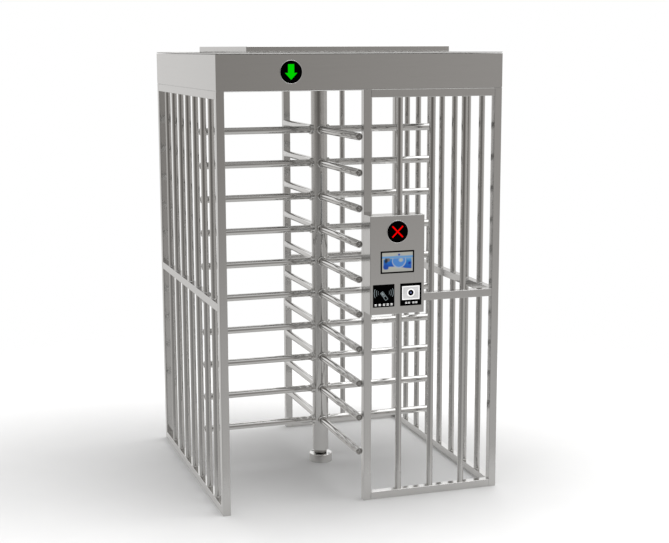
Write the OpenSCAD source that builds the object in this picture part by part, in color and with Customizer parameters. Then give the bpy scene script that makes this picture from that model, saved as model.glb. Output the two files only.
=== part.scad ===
// Full-height rotor turnstile: a four-wing rotor in a tube cage under a sheet canopy,
// with its lock, damper and bearing in the canopy and a control box on the front.
// Origin: the rotor axis at floor level. +X runs right along the front, +Y to the rear, +Z up.

/* [Cage] */
// Outer width of the cage
cage_w = 1500; // [1480:10:1560]
// Outer depth of the cage
cage_d = 1480; // [1470:10:1560]
// Height of the fascia's top edge
cage_h = 2300; // [2250:10:2400]
// Side of the square frame tube
tube = 40; // [38:1:44]
// Wall of the square frame tube
tube_wall = 2; // [1.5:0.5:3]
// Outer diameter of the round infill bars
bar_d = 32; // [25:1:36]
// Wall of the round infill bars
bar_wall = 1.5; // [1:0.5:2]
// Height of the middle rail's centre line
mid_rail_z = 1060; // [1000:10:1120]

/* [Canopy] */
// Height of the fascia
fascia_h = 178; // [170:1:190]
// Thickness of the canopy and control box sheet
sheet = 2; // [1.5:0.5:2.5]
// Width of the lift-off roof cover
cover_w = 1086; // [1040:2:1200]
// Depth of the lift-off roof cover
cover_d = 1060; // [1040:10:1200]
// Height of the lift-off roof cover
cover_h = 34; // [30:1:60]

/* [Rotor] */
// Outer diameter of the rotor column
column_d = 89; // [84:1:92]
// Wall of the rotor column
column_wall = 3; // [2.5:0.5:4]
// Height of the column's lower end
column_foot_z = 67; // [60:1:80]
// Outer diameter of an arm
arm_d = 38; // [32:1:42]
// Wall of an arm
arm_wall = 1.5; // [1:0.5:2]
// Distance from the rotor axis to an arm's tip
arm_reach = 670; // [600:5:690]
// Number of arms in one wing
arm_levels = 10; // [6:1:12]
// Height of the lowest arm
arm_low_z = 245; // [200:5:300]
// Height of the highest arm
arm_high_z = 1885; // [1800:5:1950]

/* [Floor socket] */
// Outer diameter of the floor socket
socket_d = 129; // [126:1:150]
// Height of the floor socket
socket_h = 46; // [44:1:50]
// Pitch circle of the socket's anchor holes
socket_pcd = 104; // [100:1:106]

/* [Floor anchors] */
// Distance between the anchor holes along a side rail
anchor_pitch = 1260; // [1240:5:1280]
// Diameter of an anchor hole in a side rail
anchor_d = 12; // [10:1:14]

/* [Control box] */
// Width of the control box
case_w = 290; // [280:5:340]
// Depth of the control box
case_d = 95; // [85:5:130]
// Height of the control box
case_h = 500; // [490:5:560]
// Height of the control box's underside
case_z = 1000; // [960:10:1020]
// Diameter of a lamp's visible disc
lamp_d = 110; // [90:1:110]
// Width of the display
display_w = 180; // [150:5:200]
// Height of the display
display_h = 114; // [90:2:120]
// Side of the card and code readers
reader_w = 115; // [90:5:120]

/* [Hidden] */
$fn = 64;

// Overshoot of a cutting body past the face that it cuts
over = 1;
// Radial clearance of a turning or sliding shaft in its bore
running_gap = 0.05;
// Radial clearance of a bolt or a seated barrel
seat_gap = 0.2;

// Outer corner radius of the square tube
tube_corner = 2;
corner_x = (cage_w - tube) / 2;
corner_y = (cage_d - tube) / 2;
centre_post_x = tube / 2;
front_y = -cage_d / 2;
rail_top = cage_h - fascia_h;
rail_levels = [tube / 2, mid_rail_z, rail_top - tube / 2];
bar_spans = [[tube, mid_rail_z - tube / 2], [mid_rail_z + tube / 2, rail_top - tube]];
side_bar_count = 7;
end_bar_count = 3;
side_bar_pitch = 2 * corner_y / (side_bar_count + 1);
end_bar_pitch = (corner_x - centre_post_x) / (end_bar_count + 1);

// Canopy: the fascias' turned edges carry the ceiling below and the roof above
return_w = 12;
ceiling_z = rail_top + sheet;
beam_z = ceiling_z + sheet;
roof_z = cage_h - sheet;
hatch_w = cover_w - 80;
hatch_d = cover_d - 80;
coaming_h = 24;
ceiling_hole_d = column_d + 11;
conduit_x = cage_w / 3;
conduit_d = 25;
fascia_mid_z = rail_top + fascia_h / 2;

// Head: a plate on two beams carries the bearing, the lock and the damper
beam_y = 130;
plate_w = 380;
plate_d = 300;
plate_t = 8;
plate_z = beam_z + tube;
deck_z = plate_z + plate_t;
plate_bolt_x = 175;
bolt_d = 8;
bolt_head_d = 13;
bolt_head_h = 8;

// Deep-groove ball bearing, 50 mm bore
bearing_bore_d = 50;
bearing_d = 90;
bearing_b = 20;
bearing_z = deck_z - 14;
ball_d = 12.7;
ball_count = 10;
ball_circle_r = (bearing_bore_d + bearing_d) / 4;
ball_gap = 0.1;
race_shoulder = 3.8;
barrel_r = bearing_d / 2 + 7;
housing_lip = 6;
housing_lip_r = bearing_d / 2 - 7;
housing_flange_r = 68;
housing_flange_t = 8;
housing_bolt_r = 60;

// Rotor levels in the head
column_top = ceiling_z + 10;
plug_l = 30;
spindle_flange_t = 8;
spindle_shoulder_r = 29;
hub_r = 32;
gear_z = deck_z + 34;
gear_t = 10;
disc_z = gear_z + gear_t + 10;
disc_t = 10;
disc_r = 80;
disc_hub_t = 12;
retainer_t = 3;
notch_w = 16;
notch_depth = 12;

// Gears: 60-tooth drive gear on the spindle, 20-tooth pinion on the damper
gear_module = 2.5;
gear_teeth = 60;
pinion_teeth = 20;
pressure_angle = 20;
gear_backlash = 0.3;
flank_steps = 5;
gear_centres = gear_module * (gear_teeth + pinion_teeth) / 2;
damper_r = 30;
damper_h = 30;
damper_shaft_r = 5;

// Lock pawls: levers lying front to rear beside the disc, nose towards the axis
pawl_pivot = [105, -50];
pawl_w = 14;
pawl_hub_r = 12;
pawl_pin_r = 6;
pawl_post_r = 10;
pawl_end_gap = 0.5;
nose_reach = 22.5;
nose_start = 50;
nose_end = 58;
tail_l = 44;
tail_pin_y = 36;
tail_pin_r = 3;
tail_slot_r = 3.3;
tail_slot_y = 31;

// Solenoids: each pulls its pawl's tail outwards
plunger_r = 5;
plunger_l = 46;
clevis = [21, 14, 20];
clevis_web = 5;
solenoid = [50, 40, 40];
solenoid_x = 128;
solenoid_bore_l = 35;
bracket_t = 4;
lock_mid_z = disc_z + disc_t / 2;

// Lower pivot
spigot_pin_r = 20;
spigot_neck_r = 34.5;
bush_wall = 6;
bush_flange_r = 34;
bush_flange_t = 2.5;
bush_z = 6;
pivot_lift = 0.5;
socket_chamfer = 2;
socket_hole_d = 9;
counterbore_d = 16;
counterbore_h = 8;

// Arms
arm_pitch = (arm_high_z - arm_low_z) / (arm_levels - 1);
collar_d = arm_d + 16;
collar_end_x = column_d / 2 + 12;
cap_t = 8;
cap_head = 5;
cap_edge = 3.5;
wing_angles = [-90, 0, 90, 180];

// Control box and its modules, on the front of the centre post
case_front_y = front_y - case_d;
case_mid_x = case_w / 2;
cross_z = case_z + case_h - 82;
display_z = case_z + 265;
reader_z = case_z + 96;
reader_offset = 73;
module_proud = 1.5;
bezel_w = 2.5;
bezel_proud = 2.5;
lamp_can = 3;
lamp_depth = 40;
arrow_x = -cage_w / 4;
display_border = 6;
display_back = 30;
reader_back = 22;
flange_lap = 2;
window_w = 95;
window_h = 71;
window_lift = 8;
lens_r = 13.5;

// Harness from the controller down the centre post to the control box
harness_r = 4;
bend_r = 16;
harness_exit_z = 1350;
harness_z = beam_z + harness_r + seat_gap;
harness_hole_r = 7;
controller = [220, 150, 70];
controller_at = [-330, -420];
supply = [200, 110, 50];
supply_at = [320, -400];

satin = [0.62, 0.61, 0.59];
bright = [0.78, 0.78, 0.77];
zinc = [0.70, 0.71, 0.72];
dark_steel = [0.35, 0.35, 0.36];
black = [0.05, 0.05, 0.05];
brass = [0.72, 0.62, 0.40];

function arm_z(level) = arm_low_z + level * arm_pitch;
function involute(angle) = tan(angle) * 180 / PI - angle;

// Half the angle of one tooth at radius r; it stays constant below the base circle
function tooth_half(r, teeth) =
  let (pitch_r = gear_module * teeth / 2, base_r = pitch_r * cos(pressure_angle))
  90 / teeth + involute(pressure_angle) - involute(acos(min(1, base_r / r)))
  - gear_backlash * 90 / (PI * pitch_r);

// Outline of a spur gear with involute flanks and a tooth centred on +X
function gear_outline(teeth) =
  let (pitch_r = gear_module * teeth / 2,
       root_r = pitch_r - 1.25 * gear_module,
       step = 2.25 * gear_module / flank_steps)
  [for (tooth = [0 : teeth - 1], side = [-1, 1], k = [0 : flank_steps])
    let (r = root_r + step * (side < 0 ? k : flank_steps - k),
         a = 360 * tooth / teeth + side * tooth_half(r, teeth))
    r * [cos(a), sin(a)]];

// Box centred in X and Y, standing on z = 0
module slab(size) {
  translate([-size.x / 2, -size.y / 2, 0]) cube(size);
}

module pipe(h, d, wall) {
  difference() {
    cylinder(h = h, d = d);
    translate([0, 0, -over]) cylinder(h = h + 2 * over, d = d - 2 * wall);
  }
}

// Square tube section with rounded outer corners
module tube_section() {
  difference() {
    union() {
      square([tube, tube - 2 * tube_corner], center = true);
      square([tube - 2 * tube_corner, tube], center = true);
      for (sx = [-1, 1], sy = [-1, 1])
        translate([sx, sy] * (tube / 2 - tube_corner)) circle(tube_corner);
    }
    square(tube - 2 * tube_wall, center = true);
  }
}

module post(x, y) {
  translate([x, y, 0]) linear_extrude(rail_top) tube_section();
}

// Square tube along +X from its end
module rail_x(length) {
  rotate([90, 0, 90]) linear_extrude(length) tube_section();
}

// Square tube along +Y from its end
module rail_y(length) {
  rotate([-90, 0, 0]) linear_extrude(length) tube_section();
}

// Three rails of a side panel, the lowest with its floor anchor holes
module side_rails(x) {
  length = cage_d - 2 * tube;
  difference() {
    for (z = rail_levels)
      translate([x, -length / 2, z]) rail_y(length);
    for (y = [-1, 1] * anchor_pitch / 2)
      translate([x, y, -over]) cylinder(h = tube + 2 * over, d = anchor_d);
  }
}

// Three rails of the panel between a centre post and the right corner post
module end_rails(y) {
  for (z = rail_levels)
    translate([tube, y, z]) rail_x(cage_w / 2 - 2 * tube);
}

// Lower and upper bar, butted between the rails
module bar_pair(x, y) {
  for (span = bar_spans)
    translate([x, y, span[0]]) pipe(span[1] - span[0], bar_d, bar_wall);
}

module side_bars(x) {
  for (i = [1 : side_bar_count])
    bar_pair(x, -corner_y + i * side_bar_pitch);
}

module end_bars(y) {
  for (i = [1 : end_bar_count])
    bar_pair(centre_post_x + i * end_bar_pitch, y);
}

// Fascia sheet facing -Y at y = 0, with its edges turned inwards
module fascia(length, return_length) {
  translate([0, sheet / 2, rail_top]) slab([length, sheet, fascia_h]);
  for (z = [rail_top, roof_z - sheet])
    translate([0, sheet + return_w / 2, z]) slab([return_length, return_w, sheet]);
}

// Turns local +Z to face the front, at a point on a front-facing wall
module on_front(x, y, z) {
  translate([x, y, z]) rotate([90, 0, 0]) children();
}

module front_left_post() {
  color(satin) post(-corner_x, -corner_y);
}

module front_right_post() {
  color(satin) post(corner_x, -corner_y);
}

module rear_left_post() {
  color(satin) post(-corner_x, corner_y);
}

module rear_right_post() {
  color(satin) post(corner_x, corner_y);
}

// The front centre post also lets the harness out into the control box
module front_centre_post() {
  color(satin) difference() {
    post(centre_post_x, -corner_y);
    on_front(centre_post_x, -corner_y, harness_exit_z) cylinder(h = tube, r = harness_hole_r);
  }
}

module rear_centre_post() {
  color(satin) post(centre_post_x, corner_y);
}

module left_panel_rails() {
  color(satin) side_rails(-corner_x);
}

module right_panel_rails() {
  color(satin) side_rails(corner_x);
}

module front_panel_rails() {
  color(satin) end_rails(-corner_y);
}

module rear_panel_rails() {
  color(satin) end_rails(corner_y);
}

module left_panel_bars() {
  color(bright) side_bars(-corner_x);
}

module right_panel_bars() {
  color(bright) side_bars(corner_x);
}

module front_panel_bars() {
  color(bright) end_bars(-corner_y);
}

module rear_panel_bars() {
  color(bright) end_bars(corner_y);
}

module front_fascia() {
  color(satin) difference() {
    translate([0, front_y, 0]) fascia(cage_w, cage_w - 2 * sheet);
    on_front(arrow_x, front_y + return_w, fascia_mid_z)
      cylinder(h = 2 * return_w, d = lamp_d + 2 * seat_gap);
  }
}

// The rear fascia has the conduit entry for the power and network cables
module rear_fascia() {
  color(satin) difference() {
    rotate([0, 0, 180]) translate([0, front_y, 0]) fascia(cage_w, cage_w - 2 * sheet);
    on_front(conduit_x, -front_y + over, fascia_mid_z) cylinder(h = return_w, d = conduit_d);
  }
}

// The side fascias fit between the front and rear ones
module side_fascias() {
  length = cage_d - 2 * sheet;
  color(satin) for (turn = [-90, 90])
    rotate([0, 0, turn]) translate([0, -cage_w / 2, 0]) fascia(length, length - 2 * return_w);
}

module roof_panel() {
  color(bright) translate([0, 0, roof_z]) difference() {
    union() {
      slab([cage_w - 2 * sheet, cage_d - 2 * sheet, sheet]);
      slab([hatch_w + 2 * sheet, hatch_d + 2 * sheet, sheet + coaming_h]);
    }
    translate([0, 0, -over]) slab([hatch_w, hatch_d, coaming_h + sheet + 2 * over]);
  }
}

// Shallow tray that lifts off the coaming for service
module roof_cover() {
  color(bright) translate([0, 0, cage_h]) difference() {
    slab([cover_w, cover_d, cover_h]);
    translate([0, 0, -over])
      slab([cover_w - 2 * sheet, cover_d - 2 * sheet, cover_h - sheet + over]);
  }
}

module ceiling_panel() {
  color(satin) translate([0, 0, ceiling_z]) difference() {
    slab([cage_w - 2 * sheet, cage_d - 2 * sheet, sheet]);
    translate([0, 0, -over]) cylinder(h = sheet + 2 * over, d = ceiling_hole_d);
    translate([centre_post_x, -corner_y + harness_r, -over])
      cylinder(h = sheet + 2 * over, r = harness_hole_r + 3);
  }
}

module head_beams() {
  length = cage_w - 2 * sheet;
  color(zinc) for (y = [-beam_y, beam_y])
    translate([-length / 2, y, beam_z + tube / 2]) rail_x(length);
}

// Places its child at each bolt of the bearing housing
module at_housing_bolts() {
  for (a = [45 : 90 : 315])
    rotate([0, 0, a]) translate([housing_bolt_r, 0, 0]) children();
}

module at_plate_bolts() {
  for (x = [-plate_bolt_x, plate_bolt_x], y = [-beam_y, beam_y])
    translate([x, y, 0]) children();
}

module head_plate() {
  color(zinc) translate([0, 0, plate_z]) difference() {
    slab([plate_w, plate_d, plate_t]);
    translate([0, 0, -over]) {
      cylinder(h = plate_t + 2 * over, r = barrel_r + seat_gap);
      at_housing_bolts() cylinder(h = plate_t + 2 * over, d = bolt_d + 2 * seat_gap);
      at_plate_bolts() cylinder(h = plate_t + 2 * over, d = bolt_d + 2 * seat_gap);
    }
  }
}

// Cap screw with its head's underside at z = 0 and a hexagon socket
module cap_screw(grip) {
  translate([0, 0, -grip]) cylinder(h = grip, d = bolt_d);
  difference() {
    cylinder(h = bolt_head_h, d = bolt_head_d);
    translate([0, 0, bolt_head_h / 2]) cylinder(h = bolt_head_h, d = bolt_d * 0.85, $fn = 6);
  }
}

module head_bolts() {
  color(dark_steel) {
    translate([0, 0, deck_z + housing_flange_t]) at_housing_bolts()
      cap_screw(housing_flange_t + plate_t);
    translate([0, 0, deck_z]) at_plate_bolts() cap_screw(plate_t);
  }
}

module bearing_housing() {
  barrel_z = bearing_z - housing_lip;
  color(dark_steel) difference() {
    union() {
      translate([0, 0, barrel_z]) cylinder(h = deck_z + housing_flange_t - barrel_z, r = barrel_r);
      translate([0, 0, deck_z]) cylinder(h = housing_flange_t, r = housing_flange_r);
    }
    translate([0, 0, bearing_z]) cylinder(h = bearing_b + tube, d = bearing_d);
    translate([0, 0, barrel_z - over]) cylinder(h = housing_lip + 2 * over, r = housing_lip_r);
    translate([0, 0, deck_z]) at_housing_bolts()
      cylinder(h = housing_flange_t + over, d = bolt_d + 2 * seat_gap);
  }
}

// Bearing ring between two radii, grooved for the balls
module race(inner_r, outer_r) {
  translate([0, 0, bearing_z]) rotate_extrude() difference() {
    translate([inner_r, 0]) square([outer_r - inner_r, bearing_b]);
    translate([ball_circle_r, bearing_b / 2]) circle(ball_d / 2 + ball_gap);
  }
}

module bearing_outer_race() {
  color(bright) race(ball_circle_r + race_shoulder, bearing_d / 2);
}

module bearing_inner_race() {
  color(bright) race(bearing_bore_d / 2, ball_circle_r - race_shoulder);
}

module bearing_balls() {
  color(bright) for (i = [0 : ball_count - 1])
    rotate([0, 0, 360 * i / ball_count])
      translate([ball_circle_r, 0, bearing_z + bearing_b / 2]) sphere(d = ball_d);
}

// Plug and flange on the column, then a shoulder under the bearing, the shaft and its retainer
module spindle() {
  shaft_top = disc_z + disc_t + disc_hub_t;
  color(zinc) {
    translate([0, 0, column_top - plug_l]) cylinder(h = plug_l, d = column_d - 2 * column_wall);
    translate([0, 0, column_top]) cylinder(h = spindle_flange_t, d = column_d);
    translate([0, 0, column_top + spindle_flange_t])
      cylinder(h = bearing_z - column_top - spindle_flange_t, r = spindle_shoulder_r);
    translate([0, 0, bearing_z]) cylinder(h = shaft_top - bearing_z, d = bearing_bore_d);
    translate([0, 0, shaft_top]) cylinder(h = retainer_t, r = spindle_shoulder_r);
  }
}

module rotor_column() {
  color(bright) translate([0, 0, column_foot_z])
    pipe(column_top - column_foot_z, column_d, column_wall);
}

// Removes what would lie inside the column at one arm level
module cope() {
  difference() {
    children();
    cylinder(h = 2 * collar_d, d = column_d, center = true);
  }
}

// Arms of one wing, each coped to the column, pointing away at the given angle
module wing(angle) {
  for (level = [0 : arm_levels - 1])
    translate([0, 0, arm_z(level)]) rotate([0, 0, angle])
      cope() rotate([0, 90, 0]) pipe(arm_reach - cap_head, arm_d, arm_wall);
}

module front_wing() {
  color(bright) wing(wing_angles[0]);
}

module right_wing() {
  color(bright) wing(wing_angles[1]);
}

module rear_wing() {
  color(bright) wing(wing_angles[2]);
}

module left_wing() {
  color(bright) wing(wing_angles[3]);
}

module at_arms() {
  for (angle = wing_angles, level = [0 : arm_levels - 1])
    rotate([0, 0, angle]) translate([0, 0, arm_z(level)]) children();
}

// Socket rings that the arms are welded into
module arm_collars() {
  color(bright) at_arms() cope()
    rotate([0, 90, 0]) pipe(collar_end_x, collar_d, (collar_d - arm_d) / 2);
}

// Tip caps: a plug inside each tube and a head with a bevelled edge against the tube's end
module arm_end_caps() {
  color(bright) at_arms() rotate([0, 90, 0]) {
    translate([0, 0, arm_reach - cap_head - cap_t])
      cylinder(h = cap_t + over, d = arm_d - 2 * arm_wall);
    translate([0, 0, arm_reach - cap_head]) cylinder(h = cap_head - cap_edge, d = arm_d);
    translate([0, 0, arm_reach - cap_edge])
      cylinder(h = cap_edge, d1 = arm_d, d2 = arm_d - 2 * cap_edge);
  }
}

// Plug in the column's foot, a neck, and the pin that turns in the floor bush
module pivot_spigot() {
  neck_z = socket_h + bush_flange_t + pivot_lift;
  pin_z = bush_z + 4;
  color(dark_steel) {
    translate([0, 0, pin_z]) cylinder(h = neck_z - pin_z, r = spigot_pin_r);
    translate([0, 0, neck_z]) cylinder(h = column_foot_z - neck_z, r = spigot_neck_r);
    translate([0, 0, column_foot_z]) cylinder(h = plug_l, d = column_d - 2 * column_wall);
  }
}

module socket_bush() {
  bore_r = spigot_pin_r + running_gap;
  color(black) difference() {
    union() {
      translate([0, 0, bush_z]) cylinder(h = socket_h - bush_z, r = spigot_pin_r + bush_wall);
      translate([0, 0, socket_h]) cylinder(h = bush_flange_t, r = bush_flange_r);
    }
    translate([0, 0, bush_z - over]) cylinder(h = socket_h, r = bore_r);
  }
}

module floor_socket() {
  straight_h = socket_h - socket_chamfer;
  color(satin) difference() {
    union() {
      cylinder(h = straight_h, d = socket_d);
      translate([0, 0, straight_h])
        cylinder(h = socket_chamfer, d1 = socket_d, d2 = socket_d - 2 * socket_chamfer);
    }
    translate([0, 0, bush_z]) cylinder(h = socket_h, r = spigot_pin_r + bush_wall);
    for (a = [45 : 90 : 315]) rotate([0, 0, a]) translate([socket_pcd / 2, 0, 0]) {
      translate([0, 0, -over]) cylinder(h = socket_h + 2 * over, d = socket_hole_d);
      translate([0, 0, socket_h - counterbore_h]) cylinder(h = socket_h, d = counterbore_d);
    }
  }
}

// Gear and the hub that carries the rotor on the bearing's inner race
module drive_gear() {
  hub_z = bearing_z + bearing_b;
  color(dark_steel) difference() {
    union() {
      translate([0, 0, gear_z]) linear_extrude(gear_t) polygon(gear_outline(gear_teeth));
      translate([0, 0, hub_z]) cylinder(h = gear_z + gear_t - hub_z, r = hub_r - 2);
    }
    translate([0, 0, hub_z - over]) cylinder(h = tube * 2, d = bearing_bore_d);
    for (a = [0 : 60 : 300]) rotate([0, 0, a])
      translate([gear_module * gear_teeth / 3, 0, gear_z - over])
        cylinder(h = gear_t + 2 * over, r = 10);
  }
}

// Pinion on the damper's shaft, turned half a tooth into mesh with the drive gear
module damper_pinion() {
  shaft_z = deck_z + 6;
  color(dark_steel) translate([0, -gear_centres, 0]) {
    translate([0, 0, gear_z]) rotate([0, 0, 180 / pinion_teeth])
      linear_extrude(gear_t) polygon(gear_outline(pinion_teeth));
    translate([0, 0, shaft_z]) cylinder(h = gear_z + gear_t + 3 - shaft_z, r = damper_shaft_r);
  }
}

module damper_body() {
  color(zinc) translate([0, -gear_centres, deck_z]) difference() {
    union() {
      slab([2 * damper_r + 24, 24, 5]);
      cylinder(h = damper_h, r = damper_r);
    }
    translate([0, 0, 4]) cylinder(h = damper_h, r = damper_shaft_r + running_gap);
  }
}

// Four-notch locking disc, clamped between the gear and the retainer
module lock_disc() {
  hub_z = gear_z + gear_t;
  color(zinc) difference() {
    union() {
      translate([0, 0, disc_z]) cylinder(h = disc_t, r = disc_r);
      translate([0, 0, hub_z]) cylinder(h = disc_z + disc_t + disc_hub_t - hub_z, r = hub_r);
    }
    translate([0, 0, hub_z - over]) cylinder(h = tube * 2, d = bearing_bore_d);
    for (a = [0 : 90 : 270]) rotate([0, 0, a]) translate([disc_r - notch_depth, 0, disc_z - over])
      translate([0, -notch_w / 2, 0]) cube([2 * notch_depth, notch_w, disc_t + 2 * over]);
  }
}

// The exit side of the lock is the mirror image of the entry side
module exit_side() {
  mirror([1, 0, 0]) children();
}

module pawl_pin() {
  head_z = disc_z + disc_t + pawl_end_gap;
  translate([pawl_pivot.x, pawl_pivot.y, 0]) {
    translate([0, 0, deck_z]) cylinder(h = disc_z - pawl_end_gap - deck_z, r = pawl_post_r);
    translate([0, 0, deck_z]) cylinder(h = head_z - deck_z, r = pawl_pin_r);
    translate([0, 0, head_z]) cylinder(h = retainer_t, r = pawl_post_r - 1);
  }
}

module pawl_pins() {
  color(zinc) {
    pawl_pin();
    exit_side() pawl_pin();
  }
}

// Lever with a nose for the disc at one end and a fork for the plunger's pin at the other
module pawl() {
  half_w = pawl_w / 2;
  translate([pawl_pivot.x, pawl_pivot.y, disc_z]) difference() {
    union() {
      cylinder(h = disc_t, r = pawl_hub_r);
      translate([-half_w, -tail_l, 0]) cube([pawl_w, tail_l + nose_end, disc_t]);
      translate([-nose_reach, nose_start, 0])
        cube([nose_reach, nose_end - nose_start, disc_t]);
    }
    translate([0, 0, -over]) cylinder(h = disc_t + 2 * over, r = pawl_pin_r + running_gap);
    translate([0, -tail_slot_y, -over]) cylinder(h = disc_t + 2 * over, r = tail_slot_r);
    translate([-tail_slot_r, -tail_l - over, -over])
      cube([2 * tail_slot_r, tail_l + over - tail_slot_y, disc_t + 2 * over]);
  }
}

module entry_pawl() {
  color(dark_steel) pawl();
}

module exit_pawl() {
  color(dark_steel) exit_side() pawl();
}

// Solenoid rod with a clevis and pin that straddle the pawl's fork
module plunger() {
  slot_h = disc_t + 2 * pawl_end_gap;
  translate([pawl_pivot.x, pawl_pivot.y - tail_pin_y, lock_mid_z]) {
    difference() {
      translate([-pawl_w / 2, -clevis.y / 2, -clevis.z / 2]) cube(clevis);
      translate([-pawl_w, -clevis.y, -slot_h / 2])
        cube([pawl_w / 2 + clevis.x - clevis_web, 2 * clevis.y, slot_h]);
    }
    translate([0, 0, -clevis.z / 2]) cylinder(h = clevis.z, r = tail_pin_r);
    translate([clevis.x - pawl_w / 2 - over, 0, 0])
      rotate([0, 90, 0]) cylinder(h = plunger_l - clevis.x + over, r = plunger_r);
  }
}

module entry_plunger() {
  color(bright) plunger();
}

module exit_plunger() {
  color(bright) exit_side() plunger();
}

// Coil body with its plunger bore, on an angle bracket
module solenoid_unit() {
  foot_h = lock_mid_z - solenoid.z / 2 - deck_z;
  translate([solenoid_x, pawl_pivot.y - tail_pin_y - solenoid.y / 2, deck_z]) difference() {
    union() {
      translate([0, 0, foot_h]) cube(solenoid);
      cube([solenoid.x, solenoid.y, bracket_t]);
      translate([solenoid.x - bracket_t, 0, 0]) cube([bracket_t, solenoid.y, foot_h + over]);
    }
    translate([-over, solenoid.y / 2, foot_h + solenoid.z / 2])
      rotate([0, 90, 0]) cylinder(h = solenoid_bore_l + over, r = plunger_r + running_gap);
  }
}

module solenoids() {
  color(black) {
    solenoid_unit();
    exit_side() solenoid_unit();
  }
}

// Proximity sensor that counts the disc's notches
module turn_sensor() {
  barrel_l = 58;
  bracket_y = disc_r + 28;
  color(brass) {
    translate([0, disc_r + 2, lock_mid_z]) rotate([-90, 0, 0]) cylinder(h = barrel_l, r = 6);
    translate([0, bracket_y - 5, lock_mid_z])
      rotate([-90, 0, 0]) cylinder(h = 5 + bracket_t + 5, r = 10, $fn = 6);
    translate([0, bracket_y + bracket_t / 2, deck_z])
      slab([30, bracket_t, lock_mid_z + 14 - deck_z]);
    translate([0, bracket_y + 12, deck_z]) slab([30, 24, bracket_t]);
  }
}

// Sheet enclosure open to the ceiling panel that it is screwed to
module enclosure(size) {
  difference() {
    slab(size);
    translate([0, 0, -over]) slab([size.x - 2 * sheet, size.y - 2 * sheet, size.z - sheet + over]);
  }
}

// Controller enclosure with the lip of its lid
module controller_box() {
  lip = 8;
  lid_h = 14;
  color(zinc) translate([controller_at.x, controller_at.y, beam_z]) {
    enclosure(controller);
    translate([0, 0, controller.z - lid_h]) difference() {
      slab([controller.x + lip, controller.y + lip, lid_h]);
      translate([0, 0, -over]) slab([controller.x - sheet, controller.y - sheet, lid_h]);
    }
  }
}

// Power supply with its terminal step at the right-hand end
module power_supply() {
  step = 30;
  color(zinc) translate([supply_at.x, supply_at.y, beam_z]) {
    enclosure([supply.x - 2 * step, supply.y, supply.z]);
    translate([supply.x / 2 - step / 2, 0, 0]) slab([step, supply.y - step, supply.z / 2]);
  }
}

// Bend of the harness about the Z axis, starting on +X
module harness_bend(angle) {
  rotate_extrude(angle = angle) translate([bend_r, 0]) circle(harness_r);
}

// Across the ceiling from the controller, down inside the centre post and out into the box
module signal_harness() {
  start_x = controller_at.x + controller.x / 2;
  turn_x = centre_post_x - bend_r;
  drop_y = -corner_y + bend_r;
  run_y = controller_at.y - bend_r;
  low_z = harness_exit_z + bend_r;
  plug_y = case_front_y + case_d / 2;
  color(black) {
    translate([start_x, controller_at.y, harness_z])
      rotate([0, 90, 0]) cylinder(h = turn_x - start_x, r = harness_r);
    translate([turn_x, run_y, harness_z]) harness_bend(90);
    translate([centre_post_x, drop_y, harness_z])
      rotate([-90, 0, 0]) cylinder(h = run_y - drop_y, r = harness_r);
    translate([centre_post_x, drop_y, harness_z - bend_r]) rotate([90, 0, -90]) harness_bend(90);
    translate([centre_post_x, -corner_y, low_z])
      cylinder(h = harness_z - bend_r - low_z, r = harness_r);
    translate([centre_post_x, -corner_y - bend_r, low_z]) rotate([90, 0, 90]) harness_bend(-90);
    on_front(centre_post_x, -corner_y - bend_r, harness_exit_z)
      cylinder(h = -corner_y - bend_r - plug_y, r = harness_r);
  }
}

// Cut through the box's front wall, centred at (x, z)
module front_cut(x, z) {
  on_front(x, case_front_y + sheet + over, z) linear_extrude(sheet + 2 * over) children();
}

module control_case() {
  color(satin) difference() {
    translate([0, case_front_y, case_z]) cube([case_w, case_d, case_h]);
    translate([sheet, case_front_y + sheet, case_z + sheet])
      cube([case_w - 2 * sheet, case_d, case_h - 2 * sheet]);
    front_cut(case_mid_x, cross_z) circle(d = lamp_d + 2 * seat_gap);
    front_cut(case_mid_x, display_z)
      square([display_w - 2 * flange_lap, display_h - 2 * flange_lap], center = true);
    for (side = [-1, 1])
      front_cut(case_mid_x + side * reader_offset, reader_z)
        square(reader_w - 2 * flange_lap, center = true);
  }
}

// Plate that closes the back of the box and bolts it to the post and rail
module case_back_plate() {
  color(zinc) difference() {
    translate([sheet, front_y - sheet, case_z + sheet])
      cube([case_w - 2 * sheet, sheet, case_h - 2 * sheet]);
    on_front(centre_post_x, front_y + over, harness_exit_z)
      cylinder(h = sheet + 2 * over, r = harness_hole_r);
  }
}

module lamp_bezel() {
  pipe(bezel_proud, lamp_d + 2 * bezel_w, bezel_w);
}

module lamp_bezels() {
  color(bright) {
    on_front(arrow_x, front_y, fascia_mid_z) lamp_bezel();
    on_front(case_mid_x, case_front_y, cross_z) lamp_bezel();
  }
}

// Lens disc with the smaller lamp can behind it
module lamp() {
  translate([0, 0, -lamp_can]) cylinder(h = lamp_can + module_proud, d = lamp_d);
  translate([0, 0, -lamp_depth]) cylinder(h = lamp_depth, d = lamp_d - 2 * lamp_can);
}

module arrow_lamp() {
  color(black) on_front(arrow_x, front_y, fascia_mid_z) lamp();
}

module cross_lamp() {
  color(black) on_front(case_mid_x, case_front_y, cross_z) lamp();
}

// Flanged module: a front plate that laps over its cut-out and a body behind it
module flanged_module(w, h, back) {
  slab([w, h, module_proud]);
  body = [w - 2 * flange_lap - 2 * seat_gap, h - 2 * flange_lap - 2 * seat_gap, back + over];
  translate([0, 0, -back]) slab(body);
}

module display() {
  color(black) on_front(case_mid_x, case_front_y, display_z) difference() {
    flanged_module(display_w, display_h, display_back);
    translate([0, 0, module_proud - 1])
      slab([display_w - 2 * display_border, display_h - 2 * display_border, 2]);
  }
}

module card_reader() {
  color(black) on_front(case_mid_x - reader_offset, case_front_y, reader_z)
    flanged_module(reader_w, reader_w, reader_back);
}

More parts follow.
